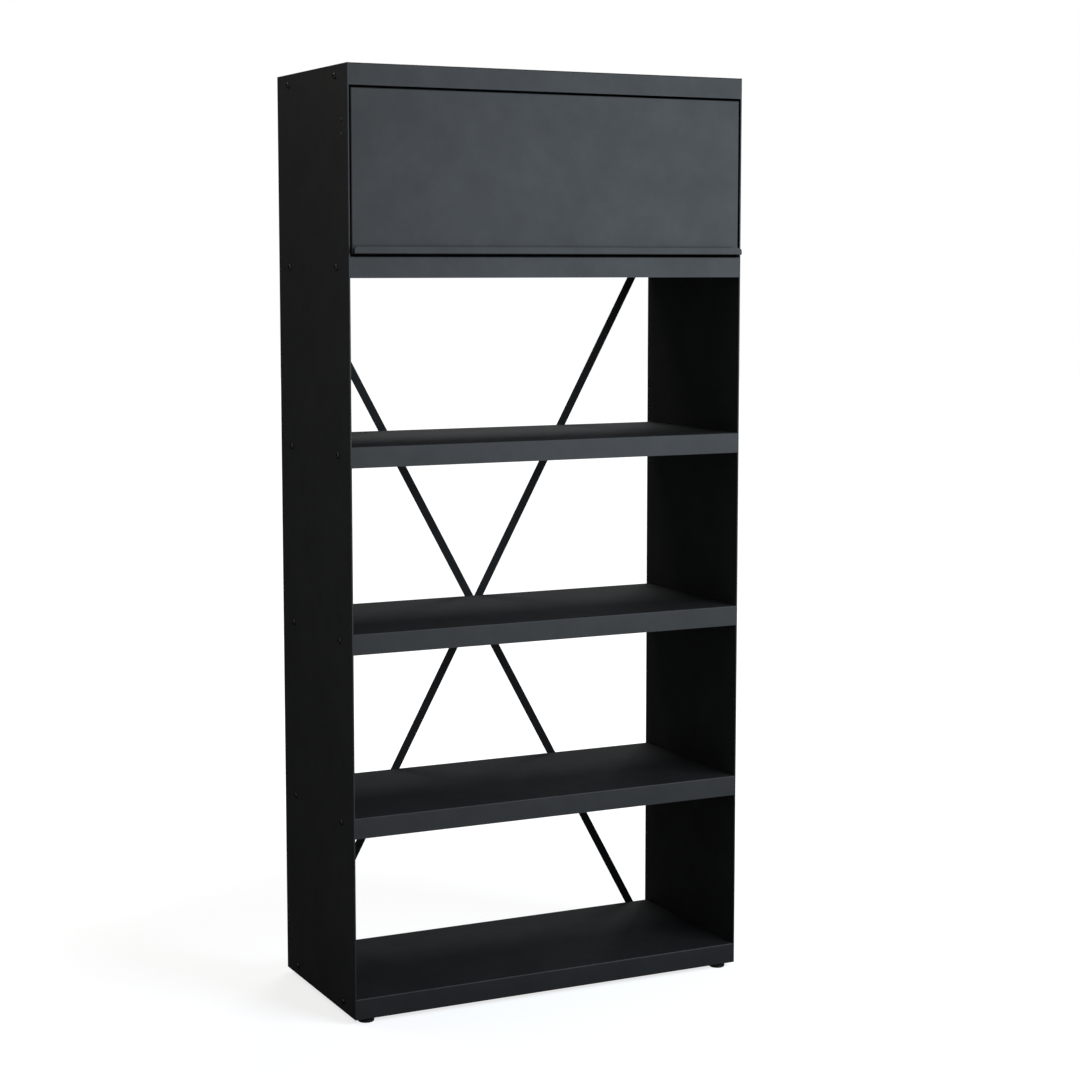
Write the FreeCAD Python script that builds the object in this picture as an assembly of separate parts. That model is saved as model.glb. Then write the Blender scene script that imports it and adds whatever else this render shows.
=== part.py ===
import FreeCAD, Part
import math
import os

# A firewood rack of folded and powder-coated sheet steel, in millimetres.
# X runs across its width, -Y is its front, +Z is up, and the floor is Z = 0.

# Frame: two flat side panels with six folded trays bolted between them
rack_width = 1000.0
rack_depth = 450.0
ground_clearance = 12.0
panel_thickness = 3.0
tray_names = ["bottom_tray", "lower_shelf", "middle_shelf", "upper_shelf", "door_shelf", "top_tray"]
tray_height = 48.0
tray_pitch = 420.0
tray_sheet = 2.0
tray_rear_setback = 12.0
fold_radius = 1.0
corner_relief = 1.5

# Fasteners: button-head screws and hexagon nuts, in proportion to their thread radius
frame_bolt_radius = 4.0
frame_bolt_inset = 75.0
rear_bolt_radius = 3.0
hinge_screw_radius = 2.5
head_radius_ratio = 1.75
head_height_ratio = 1.1
head_rim_ratio = 0.25
head_crown_ratio = 0.95
head_bulge_ratio = 0.2
socket_flats_ratio = 1.25
socket_depth_ratio = 0.65
nut_flats_ratio = 3.25
nut_height_ratio = 1.7
thread_tip = 1.5
thread_clearance = 0.05
hole_clearance = 0.4

# Back of the door bay, and the crossed flat bars behind the open bays
back_sheet = 1.5
back_side_gap = 1.0
back_edge_inset = 4.0
brace_width = 20.0
brace_thickness = 3.0
brace_end_inset = 42.0
spacer_radius = 8.0

# Flap door, a pan with a finger lip folded forward along its bottom edge
door_sheet = 1.5
door_side_gap = 4.0
door_top_gap = 5.0
door_bottom_gap = 5.0
door_return = 22.0
lip_reach = 18.0
lip_height = 16.0
lip_corner_radius = 8.0

# Friction pivots of the door, each on a plate screwed to a side panel
pivot_setback = 37.0
pivot_below_door_top = 85.0
pivot_radius = 4.0
pivot_clearance = 0.08
pivot_tip = 1.5
lug_radius = 13.0
hinge_screw_spacing = 32.0
hinge_plate_thickness = 3.0
hinge_plate_margin = 12.0
stop_arm = 62.0
stop_tab_length = 22.0
stop_tab_reach = 13.0
buffer_thickness = 3.0
buffer_inset = 3.0
buffer_side_inset = 1.0
stop_gap = 0.2
running_gap = 0.1
washer_radius = 9.0
inner_washer_thickness = 1.0
disc_spring_radius = 8.0
disc_spring_thickness = 0.8
disc_spring_cone = 0.5
pivot_nut_height = 8.0

# Levelling feet, screwed into plates welded in the corners of the bottom tray
foot_side_inset = 35.0
foot_edge_inset = 24.0
foot_pad_radius = 19.0
foot_pad_height = 10.0
foot_pad_rim = 6.0
foot_pad_round = 1.5
foot_pad_neck_radius = 9.0
foot_pad_floor = 4.0
foot_stud_radius = 4.0
foot_stud_top = 28.0
foot_plate_thickness = 4.0
foot_plate_height = 6.0
foot_plate_length = 58.0
foot_plate_depth = 46.0
foot_nut_height = 6.5
foot_lock_nut_height = 4.0

# How far a cutting tool runs past the face that it cuts
cut_margin = 1.0

# Places that follow from the sizes above
Vector = FreeCAD.Vector
half_width = rack_width / 2
inner_x = half_width - panel_thickness
front_y = (lip_reach - rack_depth) / 2
rear_y = front_y + rack_depth
tray_rear_y = rear_y - tray_rear_setback
panel_top = ground_clearance + tray_height + tray_pitch * (len(tray_names) - 1)
bolt_rows = (front_y + frame_bolt_inset, rear_y - frame_bolt_inset)
tray_tops = {}
for position, tray_name in enumerate(tray_names):
    tray_tops[tray_name] = ground_clearance + tray_height + tray_pitch * position


def flange_middle(tray_name):
    return tray_tops[tray_name] - tray_height / 2


brace_x = half_width - brace_end_inset
brace_low = flange_middle("bottom_tray")
brace_high = flange_middle("door_shelf")
back_face = tray_rear_y + back_sheet
outer_bar_face = back_face + brace_thickness
bars_face = outer_bar_face + brace_thickness
door_half = inner_x - door_side_gap
door_top = tray_tops["top_tray"] - tray_height - door_top_gap
door_bottom = tray_tops["door_shelf"] + door_bottom_gap
pivot_y = front_y + pivot_setback
pivot_z = door_top - pivot_below_door_top
hinge_screw_heights = (pivot_z - hinge_screw_spacing / 2, pivot_z + hinge_screw_spacing / 2)
shut_tab_y = front_y + door_return + stop_gap + buffer_thickness
open_tab_z = pivot_z + pivot_setback - door_return - stop_gap - buffer_thickness
rear_hole_places = {
    "bottom_tray": (-brace_x, brace_x),
    "middle_shelf": (0,),
    "door_shelf": (-brace_x, 0, brace_x),
    "top_tray": (-brace_x, 0, brace_x),
}


def box(x_a, x_b, y_a, y_b, z_a, z_b):
    low = Vector(min(x_a, x_b), min(y_a, y_b), min(z_a, z_b))
    return Part.makeBox(abs(x_b - x_a), abs(y_b - y_a), abs(z_b - z_a), low)


def placed(shape, base, axis):
    # Moves a shape drawn along +Z so that it starts at base and runs along axis
    shape.Placement = FreeCAD.Placement(base, FreeCAD.Rotation(Vector(0, 0, 1), axis))
    return shape


def rod(radius, length, base, axis):
    return Part.makeCylinder(radius, length, base, axis)


def ring(outer_radius, inner_radius, length, base, axis):
    margin = axis * cut_margin
    hole = rod(inner_radius, length + 2 * cut_margin, base - margin, axis)
    return rod(outer_radius, length, base, axis).cut(hole)


def hexagon(across_flats, height):
    corner_radius = across_flats / math.sqrt(3)
    corners = []
    for corner in range(7):
        angle = math.radians(60 * corner)
        corners.append(Vector(corner_radius * math.cos(angle), corner_radius * math.sin(angle), 0))
    return Part.Face(Part.makePolygon(corners)).extrude(Vector(0, 0, height))


def turned(points):
    # Solid of revolution about Z from a closed outline of (radius, height) points
    corners = [Vector(radius, 0, height) for radius, height in points]
    return Part.Face(Part.makePolygon(corners + corners[:1])).revolve(Vector(), Vector(0, 0, 1), 360)


def button_screw(radius, length, seat, axis):
    # The head's underside lies on seat, and the shank runs from there along axis
    head_radius = radius * head_radius_ratio
    head_height = radius * head_height_ratio
    centre = Vector(0, 0, 0)
    edge = Vector(head_radius, 0, 0)
    rim = Vector(head_radius, 0, -head_height * head_rim_ratio)
    crown = Vector(radius * head_crown_ratio, 0, -head_height)
    top = Vector(0, 0, -head_height)
    across = crown - rim
    outward = Vector(-across.z, 0, across.x) * (head_bulge_ratio if across.z < 0 else -head_bulge_ratio)
    dome = Part.Arc(rim, (rim + crown) * 0.5 + outward, crown).toShape()
    outline = [Part.makeLine(centre, edge), Part.makeLine(edge, rim), dome]
    outline += [Part.makeLine(crown, top), Part.makeLine(top, centre)]
    head = Part.Face(Part.Wire(outline)).revolve(centre, Vector(0, 0, 1), 360)
    socket = hexagon(radius * socket_flats_ratio, head_height * socket_depth_ratio)
    socket.translate(top)
    shank = rod(radius, length, centre, Vector(0, 0, 1))
    return placed(head.fuse(shank).removeSplitter().cut(socket), seat, axis)


def hex_nut(thread_radius, height, seat, axis):
    bore = rod(thread_radius + thread_clearance, height, Vector(), Vector(0, 0, 1))
    return placed(hexagon(thread_radius * nut_flats_ratio, height).cut(bore), seat, axis)


def round_edges(shape, radius, wanted):
    return shape.makeFillet(radius, [edge for edge in shape.Edges if wanted(edge.BoundBox)])


def save(name, solids):
    shape = solids[0] if len(solids) == 1 else Part.makeCompound(solids)
    shape.exportStep("parts/" + name + ".step")


def folded_pan(side_inset, top, fold, low):
    # A block with rounded top edges: the outside or the inside of a tray's folds
    block = box(side_inset - inner_x, inner_x - side_inset, front_y + side_inset,
                tray_rear_y - side_inset, low, top)
    return round_edges(block, fold, lambda bounds: bounds.ZMin > top - fold)


def tray(tray_name):
    top = tray_tops[tray_name]
    low = top - tray_height
    outside = folded_pan(0, top, fold_radius + tray_sheet, low)
    inside = folded_pan(tray_sheet, top - tray_sheet, fold_radius, low - cut_margin)
    shape = outside.cut(inside)
    slot_top = top - tray_sheet - fold_radius
    for side in (-1, 1):
        for slot_y in (front_y + tray_sheet, tray_rear_y - tray_sheet - corner_relief):
            shape = shape.cut(box(side * (inner_x - tray_sheet), side * (inner_x + cut_margin), slot_y,
                                  slot_y + corner_relief, low - cut_margin, slot_top))
    middle = flange_middle(tray_name)
    for row in bolt_rows:
        shape = shape.cut(rod(frame_bolt_radius + hole_clearance, 2 * inner_x,
                              Vector(-inner_x, row, middle), Vector(1, 0, 0)))
    for x in rear_hole_places.get(tray_name, ()):
        shape = shape.cut(rod(rear_bolt_radius + hole_clearance, tray_sheet + 2 * cut_margin,
                              Vector(x, tray_rear_y - tray_sheet - cut_margin, middle), Vector(0, 1, 0)))
    return shape


def side_panel(side):
    shape = box(side * inner_x, side * half_width, front_y, rear_y, ground_clearance, panel_top)
    holes = []
    for tray_name in tray_names:
        for row in bolt_rows:
            holes.append((frame_bolt_radius, row, flange_middle(tray_name)))
    for screw_z in hinge_screw_heights:
        holes.append((hinge_screw_radius, pivot_y, screw_z))
    for radius, y, z in holes:
        shape = shape.cut(rod(radius + hole_clearance, panel_thickness + 2 * cut_margin,
                              Vector(side * (inner_x - cut_margin), y, z), Vector(side, 0, 0)))
    return shape


def frame_fasteners(side):
    # Button-head bolts from outside a side panel, with their nuts inside the trays
    nut_height = frame_bolt_radius * nut_height_ratio
    length = panel_thickness + tray_sheet + nut_height + thread_tip
    bolts = []
    nuts = []
    for tray_name in tray_names:
        for row in bolt_rows:
            seat = Vector(side * half_width, row, flange_middle(tray_name))
            nut_seat = Vector(side * (inner_x - tray_sheet), row, flange_middle(tray_name))
            bolts.append(button_screw(frame_bolt_radius, length, seat, Vector(-side, 0, 0)))
            nuts.append(hex_nut(frame_bolt_radius, nut_height, nut_seat, Vector(-side, 0, 0)))
    return bolts, nuts


def back_panel():
    half = inner_x - back_side_gap
    low = tray_tops["door_shelf"] - tray_height + back_edge_inset
    shape = box(-half, half, tray_rear_y, back_face, low, panel_top - back_edge_inset)
    for tray_name in ("door_shelf", "top_tray"):
        for x in rear_hole_places[tray_name]:
            start = Vector(x, tray_rear_y - cut_margin, flange_middle(tray_name))
            shape = shape.cut(rod(rear_bolt_radius + hole_clearance, back_sheet + 2 * cut_margin, start,
                                  Vector(0, 1, 0)))
    return shape


def brace(slope, face):
    # A flat bar with round ends, drilled at both ends and where the two bars cross
    rise = brace_high - brace_low
    half_length = math.hypot(2 * brace_x, rise) / 2
    backwards = Vector(0, 1, 0)
    bar = box(-half_length, half_length, 0, brace_thickness, -brace_width / 2, brace_width / 2)
    for end_x in (-half_length, half_length):
        bar = bar.fuse(rod(brace_width / 2, brace_thickness, Vector(end_x, 0, 0), backwards))
    bar = bar.removeSplitter()
    for hole_x in (-half_length, 0, half_length):
        bar = bar.cut(rod(rear_bolt_radius + hole_clearance, brace_thickness + 2 * cut_margin,
                          Vector(hole_x, -cut_margin, 0), backwards))
    bar.rotate(Vector(), Vector(0, -1, 0), slope * math.degrees(math.atan2(rise, 2 * brace_x)))
    bar.translate(Vector(0, face, (brace_high + brace_low) / 2))
    return bar


def rear_fasteners(places):
    # Screws from behind, each with its head on the face given, and nuts inside the rear flanges
    nut_height = rear_bolt_radius * nut_height_ratio
    screws = []
    nuts = []
    for x, z, head_face in places:
        length = head_face - tray_rear_y + tray_sheet + nut_height + thread_tip
        forwards = Vector(0, -1, 0)
        nut_seat = Vector(x, tray_rear_y - tray_sheet, z)
        screws.append(button_screw(rear_bolt_radius, length, Vector(x, head_face, z), forwards))
        nuts.append(hex_nut(rear_bolt_radius, nut_height, nut_seat, forwards))
    return screws, nuts


def spacer(x, z, thickness, start):
    return ring(spacer_radius, rear_bolt_radius + hole_clearance, thickness, Vector(x, start, z),
                Vector(0, 1, 0))


def door():
    # The pan: front sheet, two side returns and a top return, folded from one piece
    fold = fold_radius + door_sheet
    back = front_y + door_return
    outside = box(-door_half, door_half, front_y, back, door_bottom, door_top)
    outside = round_edges(outside, fold, lambda bounds: bounds.YMax < front_y + fold
                          and bounds.ZMax > door_top - fold)
    wall_x = door_half - door_sheet
    inside = box(-wall_x, wall_x, front_y + door_sheet, back + cut_margin, door_bottom - cut_margin,
                 door_top - door_sheet)
    shape = outside.cut(inside)
    # The finger lip: a floor folded forward and an upright with rounded corners
    lip_y = front_y - lip_reach
    lip_top = door_bottom + lip_height
    lip = box(-door_half, door_half, lip_y, front_y + door_sheet, door_bottom, lip_top)
    hollow = box(-door_half - cut_margin, door_half + cut_margin, lip_y + door_sheet, front_y + door_sheet,
                 door_bottom + door_sheet, lip_top + cut_margin)
    lip = lip.cut(hollow)
    lip = round_edges(lip, lip_corner_radius, lambda bounds: bounds.ZMin > lip_top - door_sheet
                      and bounds.YLength > door_sheet / 2)
    lip = round_edges(lip, fold, lambda bounds: bounds.ZMax < door_bottom + door_sheet / 2
                      and bounds.YMax < front_y and bounds.YLength < door_sheet / 2)
    shape = shape.fuse(lip)
    # A rounded lug on each side return carries the pivot
    for side in (-1, 1):
        wall = Vector(side * wall_x, pivot_y, pivot_z)
        shape = shape.fuse(box(side * wall_x, side * door_half, back - door_sheet, pivot_y,
                               pivot_z - lug_radius, pivot_z + lug_radius))
        shape = shape.fuse(rod(lug_radius, door_sheet, wall, Vector(side, 0, 0)))
        hole = rod(pivot_radius + pivot_clearance, door_sheet + 2 * cut_margin,
                   wall - Vector(side * cut_margin, 0, 0), Vector(side, 0, 0))
        shape = shape.cut(hole)
    return shape.removeSplitter()


def hinge_plate(side):
    # A plate on the panel's inner face, with one folded tab to stop the door shut and one to stop it open
    plate_x = inner_x - hinge_plate_thickness
    rear = pivot_y + stop_arm
    low = pivot_z - stop_arm
    high = pivot_z + hinge_screw_spacing / 2 + hinge_plate_margin
    shape = box(side * plate_x, side * inner_x, shut_tab_y, pivot_y + hinge_plate_margin, low, high)
    arm_low = open_tab_z - hinge_plate_thickness
    shape = shape.fuse(box(side * plate_x, side * inner_x, pivot_y, rear, arm_low, high))
    tab_x = inner_x - stop_tab_reach
    shape = shape.fuse(box(side * tab_x, side * inner_x, shut_tab_y, shut_tab_y + hinge_plate_thickness,
                           low, low + stop_tab_length))
    shape = shape.fuse(box(side * tab_x, side * inner_x, rear - stop_tab_length, rear, arm_low, open_tab_z))
    shape = shape.removeSplitter()
    holes = [(pivot_radius + thread_clearance, pivot_z)]
    for screw_z in hinge_screw_heights:
        holes.append((hinge_screw_radius + thread_clearance, screw_z))
    for radius, z in holes:
        shape = shape.cut(rod(radius, hinge_plate_thickness + 2 * cut_margin,
                              Vector(side * (plate_x - cut_margin), pivot_y, z), Vector(side, 0, 0)))
    return shape


def stop_buffers(side):
    # Rubber pads on the two stop tabs, which the rear edge of the door's side return comes to rest on
    near_x = side * (inner_x - stop_tab_reach + buffer_side_inset)
    far_x = side * (inner_x - hinge_plate_thickness - buffer_side_inset)
    low = pivot_z - stop_arm
    rear = pivot_y + stop_arm
    shut = box(near_x, far_x, shut_tab_y - buffer_thickness, shut_tab_y, low + buffer_inset,
               low + stop_tab_length - buffer_inset)
    opened = box(near_x, far_x, rear - stop_tab_length + buffer_inset, rear - buffer_inset, open_tab_z,
                 open_tab_z + buffer_thickness)
    return [shut, opened]


def pivot_stack(side):
    # From the panel inwards: plate, washer, the door's lug, washer, disc spring and lock nut, on one pin
    inwards = Vector(-side, 0, 0)
    bore = pivot_radius + thread_clearance
    plate_x = inner_x - hinge_plate_thickness
    outer_washer_thickness = plate_x - door_half - running_gap
    second_x = door_half - door_sheet - running_gap
    spring_x = second_x - inner_washer_thickness
    nut_x = spring_x - disc_spring_thickness - disc_spring_cone
    end_x = nut_x - pivot_nut_height - pivot_tip
    outer_washer = ring(washer_radius, bore, outer_washer_thickness,
                        Vector(side * plate_x, pivot_y, pivot_z), inwards)
    inner_washer = ring(washer_radius, bore, inner_washer_thickness,
                        Vector(side * second_x, pivot_y, pivot_z), inwards)
    outline = [(bore, disc_spring_cone), (disc_spring_radius, 0), (disc_spring_radius, disc_spring_thickness),
               (bore, disc_spring_thickness + disc_spring_cone)]
    spring = placed(turned(outline), Vector(side * spring_x, pivot_y, pivot_z), inwards)
    nut = hex_nut(pivot_radius, pivot_nut_height, Vector(side * nut_x, pivot_y, pivot_z), inwards)
    pin = rod(pivot_radius, inner_x - end_x, Vector(side * inner_x, pivot_y, pivot_z), inwards)
    return outer_washer, inner_washer, spring, nut, pin


def foot_parts(side, foot_y, wall_y):
    # One foot with the plate and nuts that carry it; wall_y is the flange face that the plate is welded to
    x = side * (half_width - foot_side_inset)
    up = Vector(0, 0, 1)
    bore = foot_stud_radius + thread_clearance
    pad_outline = [(0, foot_pad_floor), (0, 0), (foot_pad_radius - foot_pad_round, 0),
                   (foot_pad_radius, foot_pad_round), (foot_pad_radius, foot_pad_rim),
                   (foot_pad_neck_radius, foot_pad_height), (bore, foot_pad_height), (bore, foot_pad_floor)]
    pad = placed(turned(pad_outline), Vector(x, foot_y, 0), up)
    stud_length = ground_clearance + foot_stud_top - foot_pad_floor
    stud = rod(foot_stud_radius, stud_length, Vector(x, foot_y, foot_pad_floor), up)
    plate_low = ground_clearance + foot_plate_height
    plate_high = plate_low + foot_plate_thickness
    wall_x = inner_x - tray_sheet
    inwards = 1 if foot_y > wall_y else -1
    plate = box(side * (wall_x - foot_plate_length), side * wall_x, wall_y,
                wall_y + inwards * foot_plate_depth, plate_low, plate_high)
    plate = plate.cut(rod(foot_stud_radius + hole_clearance, foot_plate_thickness + 2 * cut_margin,
                          Vector(x, foot_y, plate_low - cut_margin), up))
    weld_nut = hex_nut(foot_stud_radius, foot_nut_height, Vector(x, foot_y, plate_high), up)
    lock_nut = hex_nut(foot_stud_radius, foot_lock_nut_height, Vector(x, foot_y, plate_low), Vector(0, 0, -1))
    return pad, stud, plate, weld_nut, lock_nut


os.makedirs("parts", exist_ok=True)
save("left_side_panel", [side_panel(-1)])
save("right_side_panel", [side_panel(1)])
for tray_name in tray_names:
    save(tray_name, [tray(tray_name)])
for side, side_name in ((-1, "left"), (1, "right")):
    bolts, nuts = frame_fasteners(side)
    save(side_name + "_tray_bolts", bolts)
    save(side_name + "_tray_nuts", nuts)

save("back_panel", [back_panel()])
back_screw_places = [(0, brace_high, back_face)]
for x in rear_hole_places["top_tray"]:
    back_screw_places.append((x, flange_middle("top_tray"), back_face))
screws, nuts = rear_fasteners(back_screw_places)
save("back_panel_screws", screws)
save("back_panel_nuts", nuts)

# The rising bar lies on the back panel and the falling bar on top of it
save("rising_brace", [brace(1, back_face)])
save("falling_brace", [brace(-1, outer_bar_face)])
cross_z = (brace_low + brace_high) / 2
brace_screw_places = [(-brace_x, brace_low, outer_bar_face), (brace_x, brace_high, outer_bar_face)]
brace_screw_places += [(-brace_x, brace_high, bars_face), (brace_x, brace_low, bars_face)]
brace_screw_places.append((0, cross_z, bars_face))
screws, nuts = rear_fasteners(brace_screw_places)
save("brace_screws", screws)
save("brace_nuts", nuts)
save("brace_spacers", [
    spacer(-brace_x, brace_low, back_sheet, tray_rear_y),
    spacer(0, cross_z, back_sheet, tray_rear_y),
    spacer(-brace_x, brace_high, brace_thickness, back_face),
    spacer(brace_x, brace_low, back_sheet + brace_thickness, tray_rear_y),
])

save("door_panel", [door()])
stacks = []
screws = []
for side, side_name in ((-1, "left"), (1, "right")):
    save(side_name + "_hinge_plate", [hinge_plate(side)])
    save(side_name + "_stop_buffers", stop_buffers(side))
    stacks.append(pivot_stack(side))
    save(side_name + "_pivot_pin", [stacks[-1][-1]])
    for screw_z in hinge_screw_heights:
        screws.append(button_screw(hinge_screw_radius, panel_thickness + hinge_plate_thickness,
                                   Vector(side * half_width, pivot_y, screw_z), Vector(-side, 0, 0)))
save("hinge_screws", screws)
stack_names = ("outer_friction_washers", "inner_friction_washers", "disc_springs", "pivot_lock_nuts")
for place, name in enumerate(stack_names):
    save(name, [stack[place] for stack in stacks])

plates = []
weld_nuts = []
lock_nuts = []
front_flange = front_y + tray_sheet
rear_flange = tray_rear_y - tray_sheet
for side, side_name in ((-1, "left"), (1, "right")):
    for end_name, foot_y, wall_y in (("front", front_y + foot_edge_inset, front_flange),
                                     ("rear", tray_rear_y - foot_edge_inset, rear_flange)):
        pad, stud, plate, weld_nut, lock_nut = foot_parts(side, foot_y, wall_y)
        save(end_name + "_" + side_name + "_foot_pad", [pad])
        save(end_name + "_" + side_name + "_foot_stud", [stud])
        plates.append(plate)
        weld_nuts.append(weld_nut)
        lock_nuts.append(lock_nut)
save("foot_plates", plates)
save("foot_weld_nuts", weld_nuts)
save("foot_lock_nuts", lock_nuts)
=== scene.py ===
import math

import bmesh
import bpy
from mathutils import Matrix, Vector


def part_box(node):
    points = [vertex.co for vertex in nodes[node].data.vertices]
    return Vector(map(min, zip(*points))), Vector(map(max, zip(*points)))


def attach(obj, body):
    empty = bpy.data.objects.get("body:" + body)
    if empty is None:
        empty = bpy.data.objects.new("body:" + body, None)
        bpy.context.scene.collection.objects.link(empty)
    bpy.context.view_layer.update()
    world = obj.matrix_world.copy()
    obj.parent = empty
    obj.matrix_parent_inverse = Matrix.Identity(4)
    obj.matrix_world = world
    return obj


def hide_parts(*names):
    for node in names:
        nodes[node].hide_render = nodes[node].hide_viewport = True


# A tall firewood rack of folded black sheet steel, with a flap door in its top bay.
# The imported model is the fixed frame, in metres: X to the right, -Y to the front, Z up from the floor.
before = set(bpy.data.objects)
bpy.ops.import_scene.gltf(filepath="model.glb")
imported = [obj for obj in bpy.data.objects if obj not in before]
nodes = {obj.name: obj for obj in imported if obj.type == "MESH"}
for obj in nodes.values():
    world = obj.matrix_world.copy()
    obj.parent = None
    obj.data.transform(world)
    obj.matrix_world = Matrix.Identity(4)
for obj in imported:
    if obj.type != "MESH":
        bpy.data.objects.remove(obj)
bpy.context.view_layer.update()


# Side panels: two flat plates of 3 mm steel over the whole height, laser-cut and drilled.
# They are powder-coated before assembly, and the coat rounds every cut edge a little.

def linear(colour):
    """The linear colour that a shader takes, from an sRGB hex value such as #2b2e31."""
    parts = [int(colour[i:i + 2], 16) / 255 for i in (1, 3, 5)]
    return [c / 12.92 if c <= 0.04045 else ((c + 0.055) / 1.055) ** 2.4 for c in parts] + [1.0]


def add_node(tree, kind, settings=None, **inputs):
    """Adds a shader node. An input is a value or another node's socket, and is given by its name or,
    where names repeat, by its number, such as _6 and _7 for the two colours of a Mix."""
    node = tree.nodes.new("ShaderNode" + kind)
    for name, value in (settings or {}).items():
        setattr(node, name, value)
    for name, value in inputs.items():
        socket = node.inputs[int(name[1:]) if name[1:].isdigit() else name.replace("_", " ")]
        if isinstance(value, bpy.types.NodeSocket):
            tree.links.new(value, socket)
        else:
            socket.default_value = value
    return node


def new_material(name):
    """A material with an empty node tree, and that tree."""
    material = bpy.data.materials.new(name)
    material.use_nodes = True
    material.node_tree.nodes.clear()
    return material, material.node_tree


def satin_powder_coat():
    """Black polyester powder, sprayed dry and baked. The eye sees a satin black with soft clouds
    of thicker and thinner film, a slight orange peel, and a fine grain."""
    material, tree = new_material("satin_black_powder_coat")
    cloud_mm = 110
    peel_mm = 4.0      # really about 2 mm, drawn coarser so that it shows
    grain_mm = 1.2     # really about 0.2 mm, drawn coarser so that it shows
    place = add_node(tree, "TexCoord").outputs["Object"]
    cloud = add_node(tree, "TexNoise", Vector=place, Scale=1000 / cloud_mm, Detail=6.0, Roughness=0.72)
    peel = add_node(tree, "TexNoise", Vector=place, Scale=1000 / peel_mm, Detail=1.0)
    grain = add_node(tree, "TexNoise", Vector=place, Scale=1000 / grain_mm, Detail=2.0)
    contrast = add_node(tree, "MapRange", Value=cloud.outputs["Fac"], From_Min=0.3, From_Max=0.7)
    film = contrast.outputs["Result"]
    colour = add_node(tree, "Mix", {"data_type": "RGBA"}, Factor=film,
                      _6=linear("#0e0f10"), _7=linear("#1a1b1b"))
    matt = add_node(tree, "MapRange", Value=film, To_Min=0.565, To_Max=0.525)
    peel_bump = add_node(tree, "Bump", Strength=0.12, Distance=0.0004, Height=peel.outputs["Fac"])
    grain_bump = add_node(tree, "Bump", Strength=0.10, Distance=0.0002, Height=grain.outputs["Fac"],
                          Normal=peel_bump.outputs["Normal"])
    shader = add_node(tree, "BsdfPrincipled", Base_Color=colour.outputs[2], Roughness=matt.outputs["Result"],
                      Specular_IOR_Level=0.24, Normal=grain_bump.outputs["Normal"])
    add_node(tree, "OutputMaterial", Surface=shader.outputs["BSDF"])
    return material


def finish_node(name, material, edge_mm, steps=2):
    """Gives a CAD node its material, and rounds its sharp edges by edge_mm in that many steps.
    Its triangles are first joined to whole flat faces, so that the rounding runs clean."""
    piece = nodes[name]
    piece.data.materials.clear()
    piece.data.materials.append(material)
    piece.data.shade_smooth()
    weld = piece.modifiers.new("weld", "WELD")
    weld.merge_threshold = 0.000005
    flat = piece.modifiers.new("flat", "DECIMATE")
    flat.decimate_type = "DISSOLVE"
    flat.angle_limit = math.radians(0.05)
    edge = piece.modifiers.new("edge", "BEVEL")
    edge.width = edge_mm / 1000
    edge.segments = steps
    edge.limit_method = "ANGLE"
    edge.angle_limit = math.radians(40)
    edge.face_strength_mode = "FSTR_AFFECTED"
    normal = piece.modifiers.new("normal", "WEIGHTED_NORMAL")
    normal.keep_sharp = False
    normal.use_face_influence = True


coat = satin_powder_coat()
for side in ("left", "right"):
    finish_node(side + "_side_panel", coat, edge_mm=0.3)


# Trays: six blanks of 2 mm sheet, folded down on four sides with a 3 mm outer radius and coated.
# The bottom tray stands on the feet, the top one closes the rack, and the rest are shelves.

for name in ("bottom_tray", "lower_shelf", "middle_shelf", "upper_shelf", "door_shelf", "top_tray"):
    finish_node(name, coat, edge_mm=0.4)


# Tray screws and nuts: M8 button heads with a hexagon socket, put in from outside through the panels,
# and plain hexagon nuts inside the trays. The screws are black zinc plate, the nuts bright.

X, Y, Z = range(3)


def mottle(tree, place, patch_mm, detail, colours, roughness):
    """Uneven patches about patch_mm wide: their pattern, and the colour and the roughness that follow it
    from the first given to the second."""
    patch = add_node(tree, "TexNoise", Vector=place, Scale=1000 / patch_mm, Detail=detail).outputs["Fac"]
    colour = add_node(tree, "Mix", {"data_type": "RGBA"}, Factor=patch,
                      _6=linear(colours[0]), _7=linear(colours[1]))
    matt = add_node(tree, "MapRange", Value=patch, To_Min=roughness[0], To_Max=roughness[1])
    return patch, colour.outputs[2], matt.outputs["Result"]


def black_zinc_plate():
    """Zinc-plated steel, passivated black. The eye sees a deep even black with a small soft gleam."""
    material, tree = new_material("black_zinc_plate")
    stain_mm = 5       # width of the faint stains that the plating bath leaves
    place = add_node(tree, "TexCoord").outputs["Object"]
    _, colour, matt = mottle(tree, place, stain_mm, detail=3.0, colours=("#060607", "#0d0d0e"),
                             roughness=(0.28, 0.38))
    shader = add_node(tree, "BsdfPrincipled", Base_Color=colour, Roughness=matt, Specular_IOR_Level=0.28)
    add_node(tree, "OutputMaterial", Surface=shader.outputs["BSDF"])
    return material


def bright_zinc_plate():
    """Zinc-plated steel, passivated clear. The eye sees a pale bluish metal, a little cloudy."""
    material, tree = new_material("bright_zinc_plate")
    cloud_mm = 6
    place = add_node(tree, "TexCoord").outputs["Object"]
    _, colour, matt = mottle(tree, place, cloud_mm, detail=4.0, colours=("#a8acb0", "#c6c8c6"),
                             roughness=(0.26, 0.46))
    shader = add_node(tree, "BsdfPrincipled", Base_Color=colour, Roughness=matt, Metallic=1.0)
    add_node(tree, "OutputMaterial", Surface=shader.outputs["BSDF"])
    return material


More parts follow.
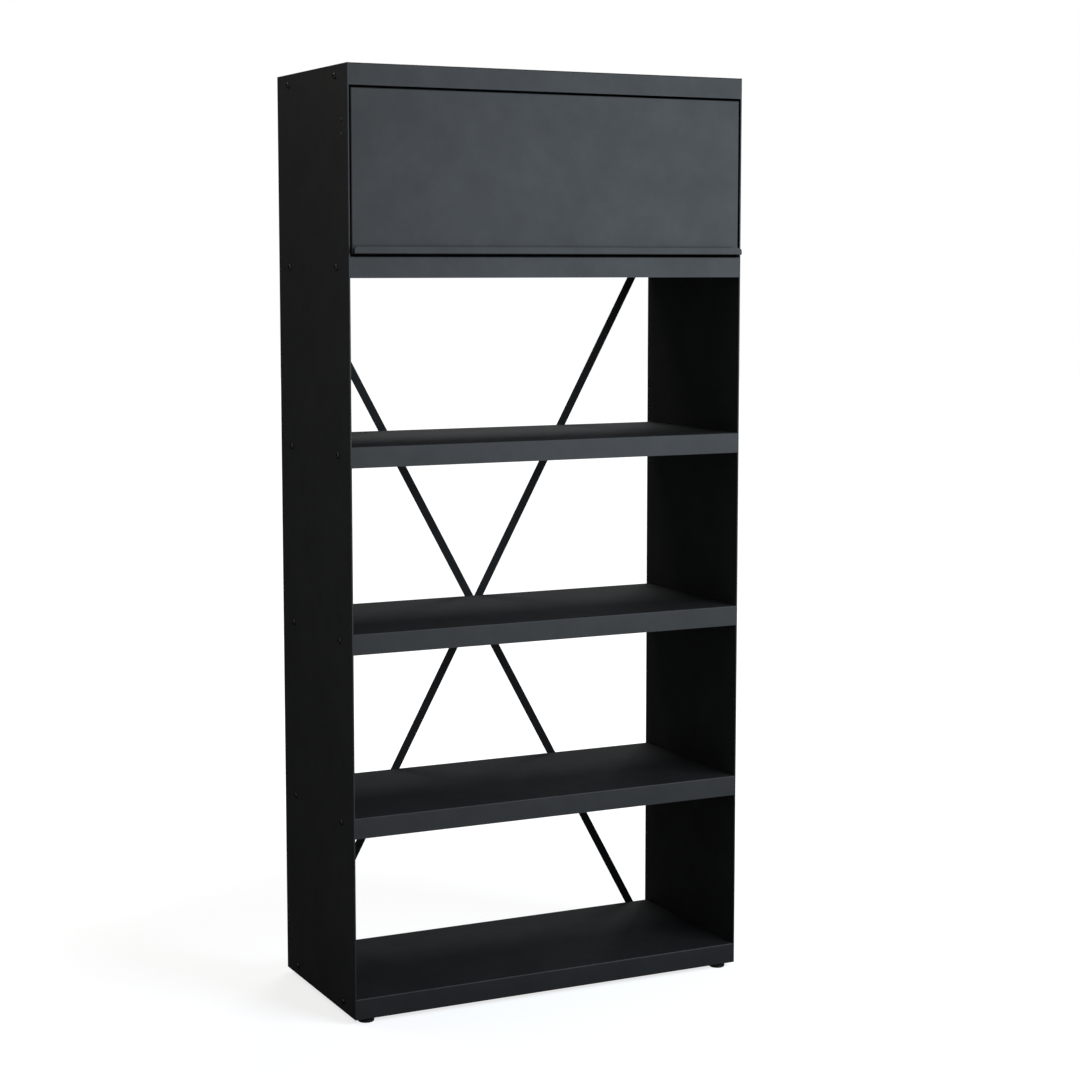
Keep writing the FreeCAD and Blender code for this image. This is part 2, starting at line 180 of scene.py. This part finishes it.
def solids(name):
    """The points of each separate solid in a CAD node, in the same order each run."""
    mesh = bmesh.new()
    mesh.from_mesh(nodes[name].data)
    bmesh.ops.remove_doubles(mesh, verts=mesh.verts, dist=0.000002)
    met = set()
    found = []
    for start in mesh.verts:
        if start in met:
            continue
        met.add(start)
        reached = [start]
        for corner in reached:
            for edge in corner.link_edges:
                other = edge.other_vert(corner)
                if other not in met:
                    met.add(other)
                    reached.append(other)
        found.append([corner.co.copy() for corner in reached])
    mesh.free()
    return sorted(found, key=lambda points: [round(min(p[i] for p in points), 5) for i in range(3)])


def nut_section(bore, flat, reach, half, collar):
    """The section of a hexagon nut on one side of its axis, as points of radius and height, where the
    hexagon reaches that far out. flat is half the width across flats, and half is half the height."""
    chamfer = 0.0006
    bearing = flat * 0.96
    drop = (reach - bearing) * math.tan(math.radians(30))
    section = [(bore, chamfer - half), (bore + chamfer, -half), (bearing, -half), (reach, drop - half)]
    if collar:
        shoulder = half * 0.2
        collar_side = flat * 0.86
        collar_top = flat * 0.78
        section += [(reach, shoulder - drop), (bearing, shoulder), (collar_side, shoulder),
                    (collar_side, half - 2 * chamfer), (collar_top, half)]
    else:
        section += [(reach, half - drop), (bearing, half)]
    return section + [(bore + chamfer, half), (bore, half - chamfer)]


def hexagon_nuts(name, axis, collar):
    """The mesh of hexagon nuts with chamfered corners, where a CAD node has plain prisms round that axis.
    A lock nut has a round collar on the side that faces the middle of the rack."""
    mesh = bmesh.new()
    across = [i for i in range(3) if i != axis]
    side_steps = 8
    steps = 6 * side_steps
    for points in solids(name):
        low = [min(p[i] for p in points) for i in range(3)]
        high = [max(p[i] for p in points) for i in range(3)]
        centre = [(a + b) / 2 for a, b in zip(low, high)]
        half = (high[axis] - low[axis]) / 2
        arms = [Vector([p[i] - centre[i] for i in across]) for p in points]
        corner = max(arms, key=lambda arm: round(arm.length, 5))
        bore = min(arm.length for arm in arms)
        flat = corner.length * math.cos(math.radians(30))
        inward = -1 if centre[axis] > 0 else 1
        rings = []
        for k in range(steps):
            angle = math.atan2(corner.y, corner.x) + 2 * math.pi * k / steps
            off_middle = (k % side_steps) / side_steps * 60 - 30     # degrees from the middle of a flat
            reach = flat / math.cos(math.radians(off_middle))
            ring = []
            for radius, along in nut_section(bore, flat, reach, half, collar):
                point = list(centre)
                point[across[0]] += radius * math.cos(angle)
                point[across[1]] += radius * math.sin(angle)
                point[axis] += along * inward
                ring.append(mesh.verts.new(point))
            rings.append(ring)
        for here, beyond in zip(rings, rings[1:] + rings[:1]):
            for i in range(len(here)):
                mesh.faces.new((here[i - 1], here[i], beyond[i], beyond[i - 1]))
    return mesh


def new_object(name, data):
    """An object in the scene, with that mesh, lamp or lens."""
    item = bpy.data.objects.new(name, data)
    bpy.context.scene.collection.objects.link(item)
    return item


def add_piece(name, mesh, material, body, replaced):
    """A new piece: it rides on a body, takes the given material, and stands for a CAD node, which it hides.
    """
    sharp = math.radians(30)
    bmesh.ops.recalc_face_normals(mesh, faces=mesh.faces)
    for edge in mesh.edges:
        edge.smooth = edge.calc_face_angle(0.0) < sharp
    for face in mesh.faces:
        face.smooth = True
    data = bpy.data.meshes.new(name)
    mesh.to_mesh(data)
    mesh.free()
    data.materials.append(material)
    piece = new_object(name, data)
    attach(piece, body)
    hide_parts(replaced)


def add_nuts(name, plain_nuts, axis, collar=False):
    """Zinc-plated hexagon nuts in place of a CAD node's plain ones."""
    mesh = hexagon_nuts(plain_nuts, axis, collar)
    add_piece(name, mesh, bright_zinc, "rack", plain_nuts)


black_zinc = black_zinc_plate()
bright_zinc = bright_zinc_plate()
for side in ("left", "right"):
    finish_node(side + "_tray_bolts", black_zinc, edge_mm=0.25)
    add_nuts(side + "_tray_hexagon_nuts", side + "_tray_nuts", X)


# Back panel: a plain coated sheet, 1.5 mm thick, that closes the door bay from behind.
# Small black button heads hold it to the rear edges of the top tray and the door shelf.

finish_node("back_panel", coat, edge_mm=0.3)
finish_node("back_panel_screws", black_zinc, edge_mm=0.2)
add_nuts("back_panel_hexagon_nuts", "back_panel_nuts", Y)


# Crossed bars: two flat bars of 3 mm steel, coated, that cross behind the open bays and keep them square.
# They are screwed to the trays' rear edges, with turned spacers where nothing else is under them.

def matt_coat_with_painted_shade():
    """Black powder coat, matt and baked, drawn darker and duller than the trays' satin coat. That extra
    darkness is painted shade, as if the side panel shaded the bars. The eye sees a deep dull black with a
    fine grain.
    """
    material, tree = new_material("matt_black_coat_with_painted_shade")
    cloud_mm = 40
    grain_mm = 1.2     # really about 0.2 mm, drawn coarser so that it shows
    place = add_node(tree, "TexCoord").outputs["Object"]
    _, colour, matt = mottle(tree, place, cloud_mm, detail=4.0, colours=("#0c0c0d", "#161616"),
                             roughness=(0.66, 0.56))
    grain = add_node(tree, "TexNoise", Vector=place, Scale=1000 / grain_mm, Detail=2.0)
    bump = add_node(tree, "Bump", Strength=0.10, Distance=0.0002, Height=grain.outputs["Fac"])
    shader = add_node(tree, "BsdfPrincipled", Base_Color=colour, Roughness=matt, Specular_IOR_Level=0.08,
                      Normal=bump.outputs["Normal"])
    add_node(tree, "OutputMaterial", Surface=shader.outputs["BSDF"])
    return material


bar_coat_with_painted_shade = matt_coat_with_painted_shade()
# The bars take this darker, duller copy of the coat: painted shade in place of the shade the side panel
# would cast on them.
for name in ("rising_brace", "falling_brace"):
    finish_node(name, bar_coat_with_painted_shade, edge_mm=0.4)
finish_node("brace_screws", black_zinc, edge_mm=0.2)
finish_node("brace_spacers", bright_zinc, edge_mm=0.2)
add_nuts("brace_hexagon_nuts", "brace_nuts", Y)


# Hinge plates: folded coated brackets inside the panels beside the door, each held by two small screws
# of blackened steel. Their tabs stop the door shut and open, with rubber buffers stuck on.

def moulded_rubber():
    """Black rubber, moulded. The eye sees a dull black with a faint grey bloom."""
    material, tree = new_material("moulded_black_rubber")
    bloom_mm = 4
    place = add_node(tree, "TexCoord").outputs["Object"]
    _, colour, matt = mottle(tree, place, bloom_mm, detail=4.0, colours=("#141414", "#2a2a29"),
                             roughness=(0.65, 0.9))
    shader = add_node(tree, "BsdfPrincipled", Base_Color=colour, Roughness=matt, Specular_IOR_Level=0.3)
    add_node(tree, "OutputMaterial", Surface=shader.outputs["BSDF"])
    return material


def oiled_black_oxide():
    """Steel blackened in a hot salt bath and oiled. The eye sees a grey-black with a soft oily gleam."""
    material, tree = new_material("oiled_black_oxide")
    stain_mm = 4       # width of the faint stains that the bath leaves
    place = add_node(tree, "TexCoord").outputs["Object"]
    _, colour, matt = mottle(tree, place, stain_mm, detail=3.0, colours=("#141415", "#202021"),
                             roughness=(0.34, 0.46))
    shader = add_node(tree, "BsdfPrincipled", Base_Color=colour, Roughness=matt, Specular_IOR_Level=0.36)
    add_node(tree, "OutputMaterial", Surface=shader.outputs["BSDF"])
    return material


rubber = moulded_rubber()
for side in ("left", "right"):
    finish_node(side + "_hinge_plate", coat, edge_mm=0.3)
    finish_node(side + "_stop_buffers", rubber, edge_mm=0.8, steps=4)
finish_node("hinge_screws", oiled_black_oxide(), edge_mm=0.2)


# Door: a pan of 1.5 mm sheet with side returns, and a finger lip folded forward along its lower edge.
# Its two pivots are zinc-plated pins with plastic washers, a disc spring and a lock nut for friction.

def moulded_acetal():
    """Natural acetal, moulded. The eye sees a waxy off-white, a little shiny."""
    material, tree = new_material("moulded_white_acetal")
    flow_mm = 3        # width of the faint streaks where the melt flowed
    place = add_node(tree, "TexCoord").outputs["Object"]
    _, colour, matt = mottle(tree, place, flow_mm, detail=2.0, colours=("#d9d6cd", "#ebe9e3"),
                             roughness=(0.3, 0.45))
    shader = add_node(tree, "BsdfPrincipled", Base_Color=colour, Roughness=matt, IOR=1.48)
    add_node(tree, "OutputMaterial", Surface=shader.outputs["BSDF"])
    return material


acetal = moulded_acetal()
finish_node("door_panel", coat, edge_mm=0.35)
for name in ("left_pivot_pin", "right_pivot_pin"):
    finish_node(name, bright_zinc, edge_mm=0.5)
finish_node("disc_springs", bright_zinc, edge_mm=0.1)
for name in ("outer_friction_washers", "inner_friction_washers"):
    finish_node(name, acetal, edge_mm=0.15)
add_nuts("pivot_collar_nuts", "pivot_lock_nuts", X, collar=True)


# Feet: round pads of moulded nylon on zinc-plated M8 studs, which screw into nuts on coated plates
# in the corners of the bottom tray. A pad turns with its stud to level the rack, and a lock nut
# under the plate holds the setting.

def moulded_nylon():
    """Black nylon, moulded in a spark-eroded tool. The eye sees a matt black with a fine grain."""
    material, tree = new_material("moulded_black_nylon")
    grain_mm = 0.8     # really about 0.1 mm, drawn coarser so that it shows
    place = add_node(tree, "TexCoord").outputs["Object"]
    grain, colour, matt = mottle(tree, place, grain_mm, detail=2.0, colours=("#0b0b0c", "#161617"),
                                 roughness=(0.5, 0.65))
    bump = add_node(tree, "Bump", Strength=0.2, Distance=0.0001, Height=grain)
    shader = add_node(tree, "BsdfPrincipled", Base_Color=colour, Roughness=matt, Specular_IOR_Level=0.2,
                      Normal=bump.outputs["Normal"])
    add_node(tree, "OutputMaterial", Surface=shader.outputs["BSDF"])
    return material


def threaded_stud(name):
    """The mesh of an M8 thread, cut from end to end, where a CAD node has a plain rod."""
    pitch = 0.00125
    depth = 0.6134 * pitch     # the usual depth of an outside thread
    chamfer = 0.0006
    end_share = 0.85           # radius of the flat ends, as a share of the thread's root
    steps = 24
    low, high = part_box(name)
    x, y = (low.x + high.x) / 2, (low.y + high.y) / 2
    crest = (high.x - low.x) / 2
    turns = math.ceil((high.z - low.z) / pitch) + 2
    mesh = bmesh.new()
    columns = []
    for k in range(steps + 1):
        angle = 2 * math.pi * k / steps
        column = []
        for row in range(2 * turns + 1):
            z = low.z + (row / 2 - 1 + k / steps) * pitch
            inside = min(max(z, low.z + chamfer), high.z - chamfer)
            in_root = row % 2 or inside != z
            radius = crest - (depth if in_root else 0)
            point = (x + radius * math.cos(angle), y + radius * math.sin(angle), inside)
            column.append(mesh.verts.new(point))
        columns.append(column)
    for here, beyond in zip(columns, columns[1:]):
        for row in range(2 * turns):
            mesh.faces.new((here[row], beyond[row], beyond[row + 1], here[row + 1]))
    for row, z in ((0, low.z), (-1, high.z)):
        rim = [column[row] for column in columns[:steps]]
        end = [mesh.verts.new((x + (v.co.x - x) * end_share, y + (v.co.y - y) * end_share, z)) for v in rim]
        for k in range(steps):
            mesh.faces.new((rim[k - 1], rim[k], end[k], end[k - 1]))
        mesh.faces.new(end)
    bmesh.ops.remove_doubles(mesh, verts=mesh.verts, dist=0.000001)
    bmesh.ops.dissolve_degenerate(mesh, edges=mesh.edges, dist=0.000001)
    return mesh


nylon = moulded_nylon()
finish_node("foot_plates", coat, edge_mm=0.3)
add_nuts("foot_weld_hexagon_nuts", "foot_weld_nuts", Z)
add_nuts("foot_lock_hexagon_nuts", "foot_lock_nuts", Z)
for corner in ("front_left", "front_right", "rear_left", "rear_right"):
    foot = corner + "_foot"
    finish_node(foot + "_pad", nylon, edge_mm=0.5)
    add_piece(foot + "_thread", threaded_stud(foot + "_stud"), bright_zinc,
              foot, foot + "_stud")


# Floor and room: a plain pale floor without a visible edge, and an even white room round it.
# The camera and shiny surfaces see them white, and their diffuse light on the rack is kept low.

def seen_directly(tree):
    """1 on rays from the camera and on what mirrors and glass pass on, and 0 on all other light."""
    path = add_node(tree, "LightPath").outputs
    seen = path["Is Camera Ray"]
    for ray in ("Is Glossy Ray", "Is Transmission Ray"):
        seen = add_node(tree, "Math", {"operation": "MAXIMUM"}, _0=seen, _1=path[ray]).outputs[0]
    return seen


def pale_floor():
    """Painted floor, matt. The eye sees it almost white, with a faint shadow of the rack."""
    material, tree = new_material("pale_matt_floor")
    near, far = 0.9, 2.2     # metres from the rack's middle between which the glow grows to full white
    near_glow = 0.75         # the rest is light from the lamps, which the shadow takes away
    place = add_node(tree, "TexCoord").outputs["Object"]
    reach = add_node(tree, "VectorMath", {"operation": "LENGTH"}, _0=place).outputs["Value"]
    white = add_node(tree, "MapRange", {"interpolation_type": "SMOOTHSTEP"}, Value=reach,
                     From_Min=near, From_Max=far, To_Min=near_glow, To_Max=1.0).outputs["Result"]
    glow = add_node(tree, "Math", {"operation": "MULTIPLY"}, _0=seen_directly(tree), _1=white)
    lit = add_node(tree, "BsdfDiffuse", Color=linear("#acacac"))
    bright = add_node(tree, "Emission", Strength=glow.outputs[0])
    both = add_node(tree, "AddShader", _0=lit.outputs[0], _1=bright.outputs[0])
    add_node(tree, "OutputMaterial", Surface=both.outputs[0])
    return material


floor_radius = 30.0
disc = bmesh.new()
bmesh.ops.create_circle(disc, cap_ends=True, radius=floor_radius, segments=96)
floor_mesh = bpy.data.meshes.new("floor")
disc.to_mesh(floor_mesh)
disc.free()
floor_mesh.materials.append(pale_floor())
floor = new_object("floor", floor_mesh)

room_light = 0.28     # strength of the room's light on matt surfaces
room = bpy.data.worlds.new("white_room")
room.use_nodes = True
air = room.node_tree
air.nodes.clear()
level = add_node(air, "MapRange", Value=seen_directly(air), To_Min=room_light, To_Max=1.0)
walls = add_node(air, "Background", Color=linear("#ffffff"), Strength=level.outputs["Result"])
add_node(air, "OutputWorld", Surface=walls.outputs[0])
bpy.context.scene.world = room


# Charcoal cloth: felt laid round the rack's foot and hung behind it, as is usual in pictures of dark metal.
# Only shiny surfaces see it, so it keeps the white room out of the panels' sheen and nothing else.

def charcoal_felt():
    """Wool felt, dyed charcoal. The eye would see a dull grey that gives little light back."""
    material, tree = new_material("charcoal_felt")
    pile = add_node(tree, "BsdfDiffuse", Color=linear("#4a4a4a"))
    add_node(tree, "OutputMaterial", Surface=pile.outputs[0])
    return material


left, right = -3.2, 1.3
front, back = -0.9, 1.3
low, high = 0.002, 3.2
corners = [(left, front, low), (right, front, low), (right, back, low), (left, back, low),
           (right, back, high), (left, back, high)]
laid, hung = (0, 1, 2, 3), (3, 2, 4, 5)
cloth_mesh = bpy.data.meshes.new("charcoal_cloth")
cloth_mesh.from_pydata(corners, [], [laid, hung])
cloth_mesh.materials.append(charcoal_felt())
cloth = new_object("charcoal_cloth", cloth_mesh)
cloth.visible_camera = False
cloth.visible_diffuse = False
cloth.visible_transmission = False
cloth.visible_shadow = False


# Studio light: one large soft box in front to the right, at the door's height and slightly cool.
# Two weaker ones hang high behind the rack, the left one slightly warm.

def soft_box(name, place, aim, width, height, watts, colour):
    """A lamp behind a rectangle of white cloth, turned to the point that it is aimed at."""
    lamp = bpy.data.lights.new(name, "AREA")
    lamp.shape = "RECTANGLE"
    lamp.size = width
    lamp.size_y = height
    lamp.energy = watts
    lamp.color = linear(colour)[:3]
    box = new_object(name, lamp)
    box.location = place
    box.rotation_euler = (Vector(aim) - Vector(place)).to_track_quat("-Z", "Y").to_euler()


soft_box("key_light", place=(1.5, -2.6, 1.9), aim=(0.0, -0.2, 1.7), width=2.2, height=2.0,
         watts=127.0, colour="#e0f0ff")
soft_box("left_fill", place=(-1.7, 1.1, 3.6), aim=(-0.5, 0.0, 1.7), width=0.8, height=0.8,
         watts=15.0, colour="#fff2e6")
soft_box("rear_fill", place=(0.9, 1.9, 4.2), aim=(0.0, 0.2, 1.0), width=1.2, height=1.2,
         watts=40.0, colour="#ffffff")


# Camera: at the photograph's angle, in front to the left, at the height of the door shelf.
# It tilts down a little, and a small shift frames the rack as the photograph does.

tilt_down_deg = 6.057
turn_right_deg = 26.161
lens = bpy.data.cameras.new("camera")
lens.lens = 75.95
lens.shift_y = -0.03
camera = new_object("camera", lens)
camera.location = (-2.341, -4.915, 1.719)
camera.rotation_euler = (math.radians(90 - tilt_down_deg), 0.0, math.radians(-turn_right_deg))
bpy.context.scene.camera = camera
bpy.context.scene.view_settings.view_transform = "Standard"
